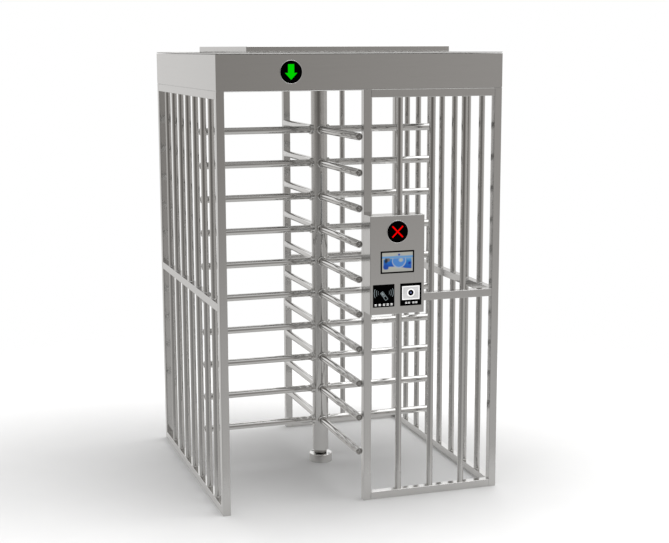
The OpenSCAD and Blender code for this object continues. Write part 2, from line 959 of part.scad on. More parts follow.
// Reader with a recessed window and the scanner's lens in it
module code_reader() {
  color(black) on_front(case_mid_x + reader_offset, case_front_y, reader_z) {
    difference() {
      flanged_module(reader_w, reader_w, reader_back);
      translate([0, window_lift, module_proud - 1]) slab([window_w, window_h, 2]);
    }
    translate([0, window_lift, 0]) cylinder(h = module_proud, r = lens_r);
  }
}

front_left_post();
front_right_post();
rear_left_post();
rear_right_post();
front_centre_post();
rear_centre_post();
left_panel_rails();
right_panel_rails();
front_panel_rails();
rear_panel_rails();
left_panel_bars();
right_panel_bars();
front_panel_bars();
rear_panel_bars();
front_fascia();
rear_fascia();
side_fascias();
roof_panel();
roof_cover();
ceiling_panel();
head_beams();
head_plate();
head_bolts();
bearing_housing();
bearing_outer_race();
bearing_balls();
bearing_inner_race();
spindle();
rotor_column();
front_wing();
right_wing();
rear_wing();
left_wing();
arm_collars();
arm_end_caps();
pivot_spigot();
socket_bush();
floor_socket();
drive_gear();
damper_pinion();
damper_body();
lock_disc();
pawl_pins();
entry_pawl();
exit_pawl();
entry_plunger();
exit_plunger();
solenoids();
turn_sensor();
controller_box();
power_supply();
signal_harness();
control_case();
case_back_plate();
lamp_bezels();
arrow_lamp();
cross_lamp();
display();
card_reader();
code_reader();
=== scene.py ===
import math

import bpy
import numpy as np
from mathutils import Matrix, Vector
from mathutils.geometry import tessellate_polygon


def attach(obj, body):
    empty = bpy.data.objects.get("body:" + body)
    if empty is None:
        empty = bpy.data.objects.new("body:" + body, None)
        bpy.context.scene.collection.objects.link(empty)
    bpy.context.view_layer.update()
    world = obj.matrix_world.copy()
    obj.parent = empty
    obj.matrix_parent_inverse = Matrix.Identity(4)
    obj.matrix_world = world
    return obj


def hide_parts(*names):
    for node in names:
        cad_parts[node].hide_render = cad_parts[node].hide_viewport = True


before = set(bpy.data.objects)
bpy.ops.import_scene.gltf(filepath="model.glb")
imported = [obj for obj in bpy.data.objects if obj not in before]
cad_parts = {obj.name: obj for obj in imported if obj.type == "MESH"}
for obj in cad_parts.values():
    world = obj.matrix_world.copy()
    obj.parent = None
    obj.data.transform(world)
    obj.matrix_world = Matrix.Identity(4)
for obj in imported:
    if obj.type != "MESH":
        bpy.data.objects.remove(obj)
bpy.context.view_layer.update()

MM = 0.001
X, Y, Z = np.eye(3)

# ---------------------------------------------------------------- camera

eye = bpy.data.cameras.new("studio_camera")
eye.sensor_width = 36
eye.lens = 71.98
eye.clip_start, eye.clip_end = 0.05, 100
studio_camera = bpy.data.objects.new("studio_camera", eye)
studio_camera.matrix_world = (
    Matrix.Translation((-2.22534, -7.03395, 2.32832))
    @ Matrix.Rotation(math.radians(-18.1958), 4, "Z")
    @ Matrix.Rotation(math.radians(80.4855), 4, "X")
    @ Matrix.Rotation(math.radians(-0.1798), 4, "Z")
)
bpy.context.scene.collection.objects.link(studio_camera)
bpy.context.scene.camera = studio_camera
bpy.context.scene.view_settings.view_transform = "Standard"

# ---------------------------------------------------------------- sizes, mm

CAGE_W, CAGE_H = 1500.0, 2300.0
TUBE, TUBE_CORNER = 40.0, 2.0
RAIL_TOP = 2122.0
SHEET = 2.0
CORNER_X, CORNER_Y, CENTRE_X = 730.0, 720.0, 20.0
RAIL_LEVELS = (20.0, 1060.0, 2102.0)
BAR_SPANS = ((40.0, 1040.0), (1080.0, 2082.0))
BAR_R = 16.0
SIDE_BARS = tuple(float(y) for y in range(-540, 541, 180))
END_BARS = (197.5, 375.0, 552.5)
COLUMN_R, COLUMN_FOOT, COLUMN_TOP = 44.5, 67.0, 2134.0
ARM_R, ARM_REACH = 19.0, 670.0
ARM_LEVELS = np.linspace(245.0, 1885.0, 10)
COLLAR_R, COLLAR_END, COLLAR_ROUND = 27.0, 56.5, 5.5
CAP_ROUND, CAP_FLAT_R = 3.7, 15.0
SOCKET_R, SOCKET_H, SOCKET_FLOOR, BUSH_R = 64.5, 46.0, 38.0, 26.0
BOLT_CIRCLE_R, BOLT_R, COUNTERBORE_R = 52.0, 4.5, 8.0
FASCIA_MID = 2211.0
FRONT = -740.0
CASE_FRONT = -835.0
CASE_W, CASE_H, CASE_Z = 290.0, 500.0, 1000.0
END_RAIL_START, END_RAIL_LENGTH = 40.0, 670.0
SIDE_FASCIA_LENGTH = 1476.0
END_RETURN_LENGTH, SIDE_RETURN_LENGTH = 1496.0, 1452.0
RETURN_DEPTH = 12.0
FOLD = 4.0
LAMP_HOLE_R, CONDUIT_HOLE_R, CONDUIT_X = 55.2, 12.5, -500.0
ROOF_W, ROOF_D, ROOF_FOOT = 1491.0, 1471.0, 2298.0
HATCH_W, HATCH_D = 1000.0, 980.0
COVER_W, COVER_D, COVER_H = 1086.0, 1060.0, 34.0
CROSS_AT = (145.0, CASE_FRONT, 1418.0)
ARROW_AT = (-375.0, FRONT, FASCIA_MID)
DISPLAY_AT = (145.0, CASE_FRONT, 1265.0)
CARD_AT = (72.0, CASE_FRONT, 1096.0)
CODE_AT = (218.0, CASE_FRONT, 1096.0)
DISPLAY_W, DISPLAY_H = 180.0, 114.0
OPENING_W, OPENING_H = 168.0, 102.0
SCREEN_W, SCREEN_H = 167.2, 101.2
READER, READER_BACK = 115.0, 22.0
WINDOW_RISE = 8.0
PRINT_BACK, PRINT_FACE = 1.45, 1.62

# ---------------------------------------------------------------- surfaces


def skin(rings, way=Z, closed=False):
    """Four-sided faces between each ring and the next one; the first and last rings are filled
    flat unless the path closes on itself. The lay of the grain is each point's distance along way."""
    rows, columns = rings.shape[:2]
    index = np.arange(rows * columns).reshape(rows, columns)
    path = np.vstack([index, index[:1]]) if closed else index
    near, far = path[:-1], path[1:]
    quads = np.stack([near, np.roll(near, -1, 1), np.roll(far, -1, 1), far], -1).reshape(-1, 4)
    points = rings.reshape(-1, 3)
    side = np.cross(way, Z if abs(way[2]) < 0.9 else X)
    lay = np.stack([points @ side, points @ np.cross(way, side), points @ way], 1)
    flats = [] if closed else [index[0][::-1], index[-1]]
    return dict(points=points, lay=lay, quads=quads, flats=flats)


def placed(outlines, levels, start, way, u):
    """Flat outlines set in space: start, plus the first coordinate along u, the second along
    way x u, and each outline's level along way."""
    outlines = np.asarray(outlines, float)
    v = np.cross(way, u)
    lift = np.asarray(levels, float)[:, None, None] * way
    return np.asarray(start, float) + outlines[..., :1] * u + outlines[..., 1:] * v + lift


def box_outline(width, height, corner, steps=4):
    """Rectangle with quarter-circle corners, as a function of how far it is drawn inwards."""
    turn = np.arange(4)[:, None] * np.pi / 2 + np.linspace(0, np.pi / 2, steps + 1)
    sx, sy = np.array([[1, -1, -1, 1], [1, 1, -1, -1]])[:, :, None]

    def at(inset=0.0):
        r = max(corner - inset, 0.04)
        x = sx * (width / 2 - inset - r) + r * np.cos(turn)
        y = sy * (height / 2 - inset - r) + r * np.sin(turn)
        return np.stack([x.ravel(), y.ravel()], 1)

    return at


def round_outline(radius, count=48):
    """Circle, as a function of how far it is drawn inwards."""
    turn = np.arange(count) * 2 * np.pi / count
    return lambda inset=0.0: (radius - inset) * np.stack([np.cos(turn), np.sin(turn)], 1)


def straight(outline, length, start, way, u, edge=0.6, steps=2):
    """Outline carried along a straight path, with both ends rounded over by a quarter circle."""
    turn = np.linspace(0, np.pi / 2, steps + 1)
    inset, level = edge * (1 - np.sin(turn)), edge * (1 - np.cos(turn))
    insets = np.concatenate([inset, inset[::-1]])
    levels = np.concatenate([level, length - level[::-1]])
    return skin(placed([outline(i) for i in insets], levels, start, way, u), way)


def turned(profile, start, way, u, count=48, closed=False):
    """Profile of (distance along the axis, radius) turned round the axis."""
    level, radius = np.asarray(profile, float).T
    return skin(placed(radius[:, None, None] * round_outline(1, count)(), level, start, way, u), way, closed)


def tray(outline, depth, start, way, u, wall=SHEET, edge=2.5, steps=4):
    """Folded sheet tray, open at the start: the inner wall down to the rim, across it, and up
    the outer wall, with the outer edge of the closed end rounded over by a quarter circle."""
    turn = np.linspace(0, np.pi / 2, steps + 1)
    insets = np.concatenate([[wall, wall, 0.3, 0.0], edge * (1 - np.cos(turn))])
    levels = np.concatenate([[depth - wall, 0.0, 0.0, 0.4], depth - edge * (1 - np.sin(turn))])
    return skin(placed([outline(i) for i in insets], levels, start, way, u), way)


def bead(outline, start, way, u, size=1.3, ripples=28):
    """Weld bead round an outline: a small circle carried round it, swelling slightly as a sine."""
    turn = np.arange(6) * np.pi / 3
    flat = outline()
    swell = 1 + 0.16 * np.sin(np.arange(len(flat)) * 2 * np.pi * ripples / len(flat))[:, None]
    outwards = flat / np.linalg.norm(flat, axis=1)[:, None]
    outlines = [flat + outwards * swell * size * math.cos(t) for t in turn]
    return skin(placed(outlines, size * np.sin(turn), start, way, u), way, closed=True)


def flat_mark(outline, at, low, high):
    """Thin raised mark on a front face, with the given outline in (right, up)."""
    return skin(placed([outline, outline], [low, high], at, -Y, X), -Y)


def holed_plate(outer, holes, start, way, u, thickness):
    """Flat plate with holes: two faces filled between the outline and the holes, and a wall
    along each of them."""
    loops = [np.asarray(outer, float)] + [np.asarray(h, float)[::-1] for h in holes]
    fill = np.array(tessellate_polygon([[Vector((*p, 0)) for p in loop] for loop in loops]))
    flat = np.concatenate(loops)
    a, b, c = (flat[fill[:, k]] for k in range(3))
    area = (b[:, 0] - a[:, 0]) * (c[:, 1] - a[:, 1]) - (b[:, 1] - a[:, 1]) * (c[:, 0] - a[:, 0])
    fill = np.where((area > 0)[:, None], fill, fill[:, ::-1])
    count = len(flat)
    points = placed([flat, flat], [0, thickness], start, way, u).reshape(-1, 3)
    walls, first = [], 0
    for loop in loops:
        near = first + np.arange(len(loop))
        walls.append(np.stack([near, np.roll(near, -1), np.roll(near, -1) + count, near + count], 1))
        first += len(loop)
    side = np.cross(way, u)
    lay = np.stack([points @ way, points @ side, points @ np.asarray(u)], 1)
    flats = list(fill + count) + list(fill[:, ::-1])
    return dict(points=points, lay=lay, quads=np.concatenate(walls), flats=flats)


def put(name, parts, finish, body="frame", nodes=(), sharp=40, weighted=False):
    """Joins parts into one piece, in metres, and sets its body and its finish, hiding the CAD nodes it stands for."""
    first = np.cumsum([0] + [len(p["points"]) for p in parts])
    faces = []
    for p, f in zip(parts, first):
        faces += (p["quads"] + f).tolist() + [(np.asarray(n) + f).tolist() for n in p["flats"]]
    mesh = bpy.data.meshes.new(name)
    mesh.from_pydata(np.concatenate([p["points"] for p in parts]) * MM, [], faces)
    lay = mesh.attributes.new("lay", "FLOAT_VECTOR", "POINT")
    lay.data.foreach_set("vector", (np.concatenate([p["lay"] for p in parts]) * MM).astype(np.float32).ravel())
    mesh.shade_smooth()
    mesh.set_sharp_from_angle(angle=math.radians(sharp))
    mesh.materials.append(finish)
    piece = bpy.data.objects.new(name, mesh)
    bpy.context.scene.collection.objects.link(piece)
    if weighted:
        even = piece.modifiers.new("even_shading", "WEIGHTED_NORMAL")
        even.keep_sharp = True
    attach(piece, body)
    if nodes:
        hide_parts(*nodes)
    return piece


# ---------------------------------------------------------------- shared effects


def effect(name, inputs, outputs):
    """Empty node group with named inputs and outputs."""
    group = bpy.data.node_groups.new(name, "ShaderNodeTree")
    for label, kind, value in inputs:
        socket = group.interface.new_socket(label, in_out="INPUT", socket_type="NodeSocket" + kind)
        if value is not None:
            socket.default_value = value
    for label, kind in outputs:
        group.interface.new_socket(label, in_out="OUTPUT", socket_type="NodeSocket" + kind)
    return group, group.nodes.new("NodeGroupInput"), group.nodes.new("NodeGroupOutput")


def node(tree, kind, settings=(), **links):
    """Node of a kind; links are values or sockets, by input name or position (i0, i1...)."""
    made = tree.nodes.new("ShaderNode" + kind)
    for key, value in dict(settings).items():
        setattr(made, key, value)
    for key, value in links.items():
        by_place = key[0] == "i" and key[1:].isdigit()
        socket = made.inputs[int(key[1:]) if by_place else key.replace("_", " ")]
        if isinstance(value, bpy.types.NodeSocket):
            tree.links.new(value, socket)
        else:
            socket.default_value = value
    return made


def ramp(tree, factor, stops, smooth=False):
    """Colour ramp through (position, colour) stops."""
    made = node(tree, "ValToRGB", i0=factor)
    made.color_ramp.interpolation = "EASE" if smooth else "LINEAR"
    points = made.color_ramp.elements
    while len(points) < len(stops):
        points.new(0.5)
    for point, (position, colour) in zip(points, stops):
        point.position = position
        point.color = (*colour, 1) if len(colour) == 3 else colour
    return made.outputs[0]


def spread(tree, value, low, high, start=0.0, end=1.0):
    """Value mapped from start..end to low..high."""
    return node(tree, "MapRange", i0=value, i1=start, i2=end, i3=low, i4=high).outputs[0]


def eased(tree, value, start, end, low=0.0, high=1.0):
    """Value mapped from start..end to low..high along a smooth step."""
    smooth = {"interpolation_type": "SMOOTHSTEP"}
    return node(tree, "MapRange", smooth, i0=value, i1=start, i2=end, i3=low, i4=high).outputs[0]


def maths(tree, kind, a, b=0.0):
    """Result of one sum on two values."""
    return node(tree, "Math", {"operation": kind}, i0=a, i1=b).outputs[0]


def blend(tree, mask, below, above):
    """Colour below, covered by the colour above where the mask is one."""
    return node(tree, "Mix", {"data_type": "RGBA"}, i0=mask, i6=below, i7=above).outputs[2]


def make_grain():
    """Polishing lines: noise stretched along the third coordinate, fine lines and broader bands."""
    group, given, out = effect(
        "polishing_lines",
        [("Vector", "Vector", None), ("Fineness", "Float", 1500.0), ("Stretch", "Float", 60.0)],
        [("Lines", "Float"), ("Bands", "Float")],
    )
    long = maths(group, "DIVIDE", given.outputs[1], given.outputs[2])
    scale = node(group, "CombineXYZ", i0=given.outputs[1], i1=given.outputs[1], i2=long).outputs[0]
    fine = node(group, "VectorMath", {"operation": "MULTIPLY"}, i0=given.outputs[0], i1=scale).outputs[0]
    broad = node(group, "VectorMath", {"operation": "MULTIPLY"}, i0=fine, i1=(0.07, 0.07, 0.2)).outputs[0]
    lines = node(group, "TexNoise", Vector=fine, Scale=1.0, Detail=3.0, Roughness=0.6)
    bands = node(group, "TexNoise", Vector=broad, Scale=1.0, Detail=2.0)
    group.links.new(lines.outputs[0], out.inputs[0])
    group.links.new(bands.outputs[0], out.inputs[1])
    return group


def make_smudges():
    """Handling marks: two sizes of soft noise, kept where both are high."""
    group, given, out = effect(
        "handling_marks", [("Vector", "Vector", None), ("Size", "Float", 9.0)], [("Mask", "Float")]
    )
    large = node(group, "TexNoise", Vector=given.outputs[0], Scale=given.outputs[1], Detail=4.0, Roughness=0.6)
    small_scale = maths(group, "MULTIPLY", given.outputs[1], 7.0)
    small = node(group, "TexNoise", Vector=given.outputs[0], Scale=small_scale, Detail=3.0)
    both = maths(group, "MULTIPLY", large.outputs[0], small.outputs[0])
    group.links.new(spread(group, both, 0.0, 1.0, 0.15, 0.42), out.inputs[0])
    return group


def make_foot_dust():
    """Dust that thins out upwards from the floor, broken up by noise."""
    group, given, out = effect(
        "floor_dust", [("Vector", "Vector", None), ("Reach", "Float", 0.12)], [("Mask", "Float")]
    )
    height = node(group, "SeparateXYZ", i0=given.outputs[0]).outputs[2]
    low = eased(group, height, given.outputs[1], 0.0)
    specks = node(group, "TexNoise", Vector=given.outputs[0], Scale=60.0, Detail=5.0, Roughness=0.7).outputs[0]
    group.links.new(maths(group, "MULTIPLY", low, specks), out.inputs[0])
    return group


def make_speckle():
    """Fine moulded or cast texture: small noise over larger soft noise."""
    group, given, out = effect(
        "surface_texture",
        [("Vector", "Vector", None), ("Fineness", "Float", 900.0)],
        [("Height", "Float"), ("Cloud", "Float")],
    )
    fine = node(group, "TexNoise", Vector=given.outputs[0], Scale=given.outputs[1], Detail=2.0)
    soft = node(group, "TexNoise", Vector=given.outputs[0], Scale=14.0, Detail=4.0)
    group.links.new(fine.outputs[0], out.inputs[0])
    group.links.new(soft.outputs[0], out.inputs[1])
    return group


GRAIN, SMUDGES, DUST, TEXTURE = make_grain(), make_smudges(), make_foot_dust(), make_speckle()


def use(tree, group, **links):
    """Shared effect placed in a material; links are values or sockets, by input name."""
    made = tree.nodes.new("ShaderNodeGroup")
    made.node_tree = group
    for key, value in links.items():
        if isinstance(value, bpy.types.NodeSocket):
            tree.links.new(value, made.inputs[key])
        else:
            made.inputs[key].default_value = value
    return made


# ---------------------------------------------------------------- finishes


def new_finish(name):
    """New material, with its tree and its surface shader."""
    material = bpy.data.materials.new(name)
    material.use_nodes = True
    tree = material.node_tree
    shader = next(n for n in tree.nodes if n.type == "BSDF_PRINCIPLED")
    return material, tree, shader


def stainless(name, tint, rough, fineness, stretch, relief, follows_lay=True):
    """Ground or polished stainless sheet and tube: lines along the length, slight colour bands,
    handling marks that dull the gloss, and dust at the foot."""
    material, tree, shader = new_finish(name)
    place = node(tree, "TexCoord").outputs["Object"]
    along = node(tree, "Attribute", {"attribute_name": "lay"}).outputs["Vector"] if follows_lay else place
    grain = use(tree, GRAIN, Vector=along, Fineness=fineness, Stretch=stretch)
    marks = use(tree, SMUDGES, Vector=place, Size=7.0).outputs[0]
    dust = use(tree, DUST, Vector=place, Reach=0.16).outputs[0]
    stops = [(0.25, [c * 0.988 for c in tint]), (0.75, [min(1, c * 1.012) for c in tint])]
    tone = ramp(tree, grain.outputs["Bands"], stops)
    dusty = blend(tree, spread(tree, dust, 0.0, 0.35), tone, (0.66, 0.65, 0.62, 1))
    tree.links.new(dusty, shader.inputs["Base Color"])
    gloss = spread(tree, grain.outputs["Lines"], rough * 0.85, rough * 1.2)
    dulled = node(tree, "Math", {"operation": "MULTIPLY_ADD"}, i0=marks, i1=0.05, i2=gloss).outputs[0]
    tree.links.new(dulled, shader.inputs["Roughness"])
    shader.inputs["Metallic"].default_value = 1.0
    bump = node(tree, "Bump", Strength=0.35, Distance=relief, Height=grain.outputs["Lines"])
    tree.links.new(bump.outputs[0], shader.inputs["Normal"])
    return material


def worked_metal(name, tint, rough, fineness=500.0, relief=0.00003, contrast=0.12):
    """Machined or plated metal: soft cloud of tone and a fine surface."""
    material, tree, shader = new_finish(name)
    place = node(tree, "TexCoord").outputs["Object"]
    surface = use(tree, TEXTURE, Vector=place, Fineness=fineness)
    marks = use(tree, SMUDGES, Vector=place, Size=22.0).outputs[0]
    dark = [c * (1 - contrast) for c in tint]
    light = [min(1, c * (1 + contrast)) for c in tint]
    tree.links.new(ramp(tree, surface.outputs["Cloud"], [(0.3, dark), (0.7, light)]), shader.inputs["Base Color"])
    tree.links.new(spread(tree, marks, rough, rough + 0.14), shader.inputs["Roughness"])
    shader.inputs["Metallic"].default_value = 1.0
    bump = node(tree, "Bump", Strength=0.4, Distance=relief, Height=surface.outputs["Height"])
    tree.links.new(bump.outputs[0], shader.inputs["Normal"])
    return material


def moulded(name, tint, rough, fineness=1200.0, relief=0.00004, coat=0.0, specular=0.5, glow=0.0):
    """Plastic, rubber or paint: even colour with a soft cloud, fine relief and dulled handling marks. A glow, where
    given, is painted brightness: the colour is also given off as light though the part is no lamp.
    """
    material, tree, shader = new_finish(name)
    place = node(tree, "TexCoord").outputs["Object"]
    surface = use(tree, TEXTURE, Vector=place, Fineness=fineness)
    marks = use(tree, SMUDGES, Vector=place, Size=18.0).outputs[0]
    stops = [(0.3, [c * 0.88 for c in tint]), (0.7, [min(1, c * 1.1) for c in tint])]
    tone = ramp(tree, surface.outputs["Cloud"], stops)
    tree.links.new(tone, shader.inputs["Base Color"])
    # Painted glow: the part's own colour given off as light, though it is no lamp.
    if glow:
        tree.links.new(tone, shader.inputs["Emission Color"])
        shader.inputs["Emission Strength"].default_value = glow
    tree.links.new(spread(tree, marks, rough, rough + 0.12), shader.inputs["Roughness"])
    shader.inputs["Coat Weight"].default_value = coat
    shader.inputs["Coat Roughness"].default_value = 0.08
    shader.inputs["Specular IOR Level"].default_value = specular
    bump = node(tree, "Bump", Strength=0.35, Distance=relief, Height=surface.outputs["Height"])
    tree.links.new(bump.outputs[0], shader.inputs["Normal"])
    return material


def lit(name, colour, cell=0.004):
    """Lit symbol: an even glow with the faint grid of the light cells behind the lens."""
    material, tree, shader = new_finish(name)
    place = node(tree, "TexCoord").outputs["Object"]
    part = node(tree, "SeparateXYZ", i0=place)
    grid = []
    for axis in (0, 2):
        turns = maths(tree, "MULTIPLY", part.outputs[axis], 2 * math.pi / cell)
        grid.append(maths(tree, "SINE", turns))
    cells = maths(tree, "MULTIPLY", *grid)
    stops = [(0.0, [c * 0.93 for c in colour]), (1.0, colour)]
    glow = ramp(tree, spread(tree, cells, 0.0, 1.0, -1.0, 1.0), stops)
    tree.links.new(glow, shader.inputs["Emission Color"])
    shader.inputs["Emission Strength"].default_value = 1.0
    shader.inputs["Base Color"].default_value = (0.0, 0.0, 0.0, 1)
    shader.inputs["Roughness"].default_value = 0.6
    shader.inputs["Specular IOR Level"].default_value = 0.0
    return material


def screen_picture():
    """Generic idle picture: pale strips above and below, a band of blue waves, a pale-rimmed
    dome in the middle and a dark hill at the left, from distances and sines of the screen's UV."""
    material, tree, shader = new_finish("display_picture")
    place = node(tree, "TexCoord").outputs["UV"]
    rough_edge = node(tree, "TexNoise", Vector=place, Scale=7.0, Detail=4.0)
    drift = spread(tree, rough_edge.outputs[0], -0.11, 0.11)
    part = node(tree, "SeparateXYZ", i0=place)
    across, up = part.outputs[0], part.outputs[1]

    def product(a, b):
        return maths(tree, "MULTIPLY", a, b)

    def total(a, b):
        return maths(tree, "ADD", a, b)

    def between(value, start, end, soft=0.05, soft_end=0.05):
        """One between start and end, fading to nothing over the soft widths."""
        rising = spread(tree, value, 0.0, 1.0, start, start + soft)
        return product(rising, spread(tree, value, 1.0, 0.0, end - soft_end, end))

    def disc(x, y, radius, squeeze=0.6, soft=0.03):
        """One inside a flattened circle with a slightly ragged edge."""
        dx = maths(tree, "SUBTRACT", across, x)
        dy = product(maths(tree, "SUBTRACT", up, y), squeeze)
        far = maths(tree, "SQRT", total(product(dx, dx), product(dy, dy)))
        return spread(tree, total(far, product(drift, 0.15)), 1.0, 0.0, radius - soft, radius + soft)

    cream, rim, pool = (0.40, 0.40, 0.35, 1), (0.35, 0.40, 0.50, 1), (0.065, 0.21, 0.53, 1)
    swell = product(maths(tree, "SINE", total(product(across, 4.2), 3.6)), 0.07)
    low_edge = total(total(up, swell), product(drift, 0.3))
    high_edge = maths(tree, "SUBTRACT", total(up, product(drift, 0.8)), product(across, 0.26))
    depths = [(0.15, (0.0, 0.06, 0.36)), (0.36, (0.0, 0.09, 0.42)), (0.56, (0.01, 0.17, 0.46)),
              (0.72, (0.10, 0.28, 0.54)), (0.95, (0.16, 0.33, 0.52))]
    water = ramp(tree, total(low_edge, drift), depths)
    band = product(spread(tree, low_edge, 0.0, 1.0, 0.19, 0.23), spread(tree, high_edge, 1.0, 0.0, 0.60, 0.66))
    picture = blend(tree, product(band, between(across, 0.03, 0.98, 0.04)), cream, water)
    picture = blend(tree, disc(0.55, 0.56, 0.222, 0.6, 0.012), picture, rim)
    picture = blend(tree, disc(0.55, 0.575, 0.198, 0.6, 0.012), picture, pool)
    picture = blend(tree, spread(tree, up, 0.0, 0.85, 0.66, 0.72), picture, cream)
    picture = blend(tree, between(up, 0.69, 0.82, 0.02, 0.04), picture, (0.12, 0.29, 0.54, 1))
    for where, colour in (
        ((0.61, 0.59, 0.07, 0.8, 0.025), (0.38, 0.41, 0.38, 1)),
        ((0.13, 0.26, 0.085, 0.62, 0.02), (0.0, 0.05, 0.31, 1)),
        ((0.20, 0.62, 0.065, 0.75, 0.02), (0.16, 0.12, 0.10, 1)),
        ((0.135, 0.58, 0.05, 0.4, 0.02), (0.004, 0.014, 0.035, 1)),
        ((0.55, 0.86, 0.03, 0.6, 0.012), (0.0, 0.04, 0.33, 1)),
        ((0.89, 0.42, 0.05, 0.7, 0.02), (0.0, 0.02, 0.30, 1)),
    ):
        picture = blend(tree, disc(*where), picture, colour)
    strips = maths(tree, "MAXIMUM", spread(tree, up, 1.0, 0.0, 0.13, 0.16), spread(tree, up, 0.0, 1.0, 0.93, 0.96))
    picture = blend(tree, strips, picture, (0.37, 0.37, 0.34, 1))
    inside_sides, inside_ends = between(across, 0.008, 0.992, 0.005, 0.005), between(up, 0.013, 0.987, 0.009, 0.009)
    margin = maths(tree, "MINIMUM", inside_sides, inside_ends)
    picture = blend(tree, margin, (0.0, 0.0, 0.0, 1), picture)
    tree.links.new(picture, shader.inputs["Emission Color"])
    shader.inputs["Emission Strength"].default_value = 0.95
    shader.inputs["Base Color"].default_value = (0.01, 0.01, 0.012, 1)
    shader.inputs["Roughness"].default_value = 0.22
    shader.inputs["Specular IOR Level"].default_value = 0.35
    return material


STEEL = (0.585, 0.582, 0.575)
SATIN = stainless("satin_stainless", STEEL, 0.07, 1800.0, 60.0, 0.000003)
POLISHED = stainless("polished_stainless", (0.60, 0.595, 0.585), 0.035, 2200.0, 60.0, 0.000001)
SATIN_SHEET = stainless("satin_stainless_sheet", STEEL, 0.10, 900.0, 1.0, 0.000004, follows_lay=False)
CHROME = worked_metal("bright_chrome", (0.78, 0.78, 0.78), 0.06, 700.0, 0.000004, 0.04)
BEARING = worked_metal("bearing_steel", (0.66, 0.66, 0.65), 0.12, 900.0, 0.000006, 0.05)
ZINC = worked_metal("zinc_plated_steel", (0.58, 0.60, 0.62), 0.30, 420.0, 0.00002, 0.16)
BLACKENED = worked_metal("blackened_steel", (0.10, 0.10, 0.105), 0.36, 600.0, 0.00002, 0.2)
NICKEL = worked_metal("nickel_brass", (0.70, 0.64, 0.50), 0.2, 800.0, 0.00001, 0.08)
PAINT = moulded("enclosure_paint", (0.42, 0.43, 0.44), 0.42, 420.0, 0.00006)
COIL = moulded("coil_black", (0.022, 0.022, 0.024), 0.45, 900.0)
PLASTIC = moulded("black_plastic", (0.0004, 0.0004, 0.0005), 0.45, 1400.0, 0.00003, specular=0.012)
CAP_STEEL = worked_metal("cap_steel", (0.36, 0.345, 0.33), 0.12, 900.0, 0.000008, 0.12)
LENS = moulded("lamp_black", (0.0002, 0.0002, 0.0003), 0.3, 600.0, 0.000004, specular=0.003)
CABLE = moulded("cable_rubber", (0.03, 0.03, 0.032), 0.55, 1500.0)
# The printed marks carry a painted glow, so they read brighter than print does under the studio light.
WHITE_PRINT = moulded("white_print", (0.80, 0.80, 0.80), 0.5, 1600.0, 0.00001, glow=0.55)
GREY_PRINT = moulded("grey_print", (0.23, 0.27, 0.285), 0.5, 1600.0, 0.00001, specular=0.1, glow=0.35)
# The reader window, its border and the lens glass carry a painted glow; none of them is a lamp.
WINDOW = moulded("reader_window", (0.545, 0.545, 0.55), 0.3, 1600.0, 0.00001, specular=0.1, glow=0.5)
WINDOW_EDGE = moulded("reader_window_border", (0.88, 0.88, 0.88), 0.4, 1600.0, 0.00001, glow=0.6)
LENS_BLUE = moulded("lens_glass", (0.10, 0.12, 0.26), 0.08, 800.0, 0.000002, coat=0.6, glow=0.5)
GREEN = lit("arrow_light", (0.0, 0.645, 0.0))
RED = lit("cross_light", (0.95, 0.0, 0.0))
PICTURE = screen_picture()

# ---------------------------------------------------------------- cage

post_outline = box_outline(TUBE, TUBE, TUBE_CORNER)
bar_outline = round_outline(BAR_R, 40)

for name, x, y in (
    ("front_left_post", -CORNER_X, -CORNER_Y), ("front_right_post", CORNER_X, -CORNER_Y),
    ("rear_left_post", -CORNER_X, CORNER_Y), ("rear_right_post", CORNER_X, CORNER_Y),
    ("front_centre_post", CENTRE_X, -CORNER_Y), ("rear_centre_post", CENTRE_X, CORNER_Y),
):
    tube = straight(post_outline, RAIL_TOP, (x, y, 0), Z, X, edge=0.8)
    put(name + "_tube", [tube], SATIN, nodes=[name], weighted=True)


def bars_at(places):
    """Round bars between the rails, each with a weld bead at both ends."""
    parts = []
    for x, y in places:
        for low, high in BAR_SPANS:
            parts.append(straight(bar_outline, high - low, (x, y, low), Z, X, edge=0.2, steps=1))
            parts += [bead(bar_outline, (x, y, z), Z, X) for z in (low + 0.7, high - 0.7)]
    return parts


for side, x in (("left", -CORNER_X), ("right", CORNER_X)):
    length, start = 2 * CORNER_Y - TUBE, -CORNER_Y + TUBE / 2
    rails = [straight(post_outline, length, (x, start, z), Y, X, edge=0.8) for z in RAIL_LEVELS]
    bars = bars_at([(x, y) for y in SIDE_BARS])
    put(side + "_rails", rails, SATIN, nodes=[side + "_panel_rails"], weighted=True)
    put(side + "_bars", bars, POLISHED, nodes=[side + "_panel_bars"])

for side, y in (("front", -CORNER_Y), ("rear", CORNER_Y)):
    rails = [straight(post_outline, END_RAIL_LENGTH, (END_RAIL_START, y, z), X, Y, edge=0.8) for z in RAIL_LEVELS]
    bars = bars_at([(x, y) for x in END_BARS])
    put(side + "_rails", rails, SATIN, nodes=[side + "_panel_rails"], weighted=True)
    put(side + "_bars", bars, POLISHED, nodes=[side + "_panel_bars"])

# ---------------------------------------------------------------- head


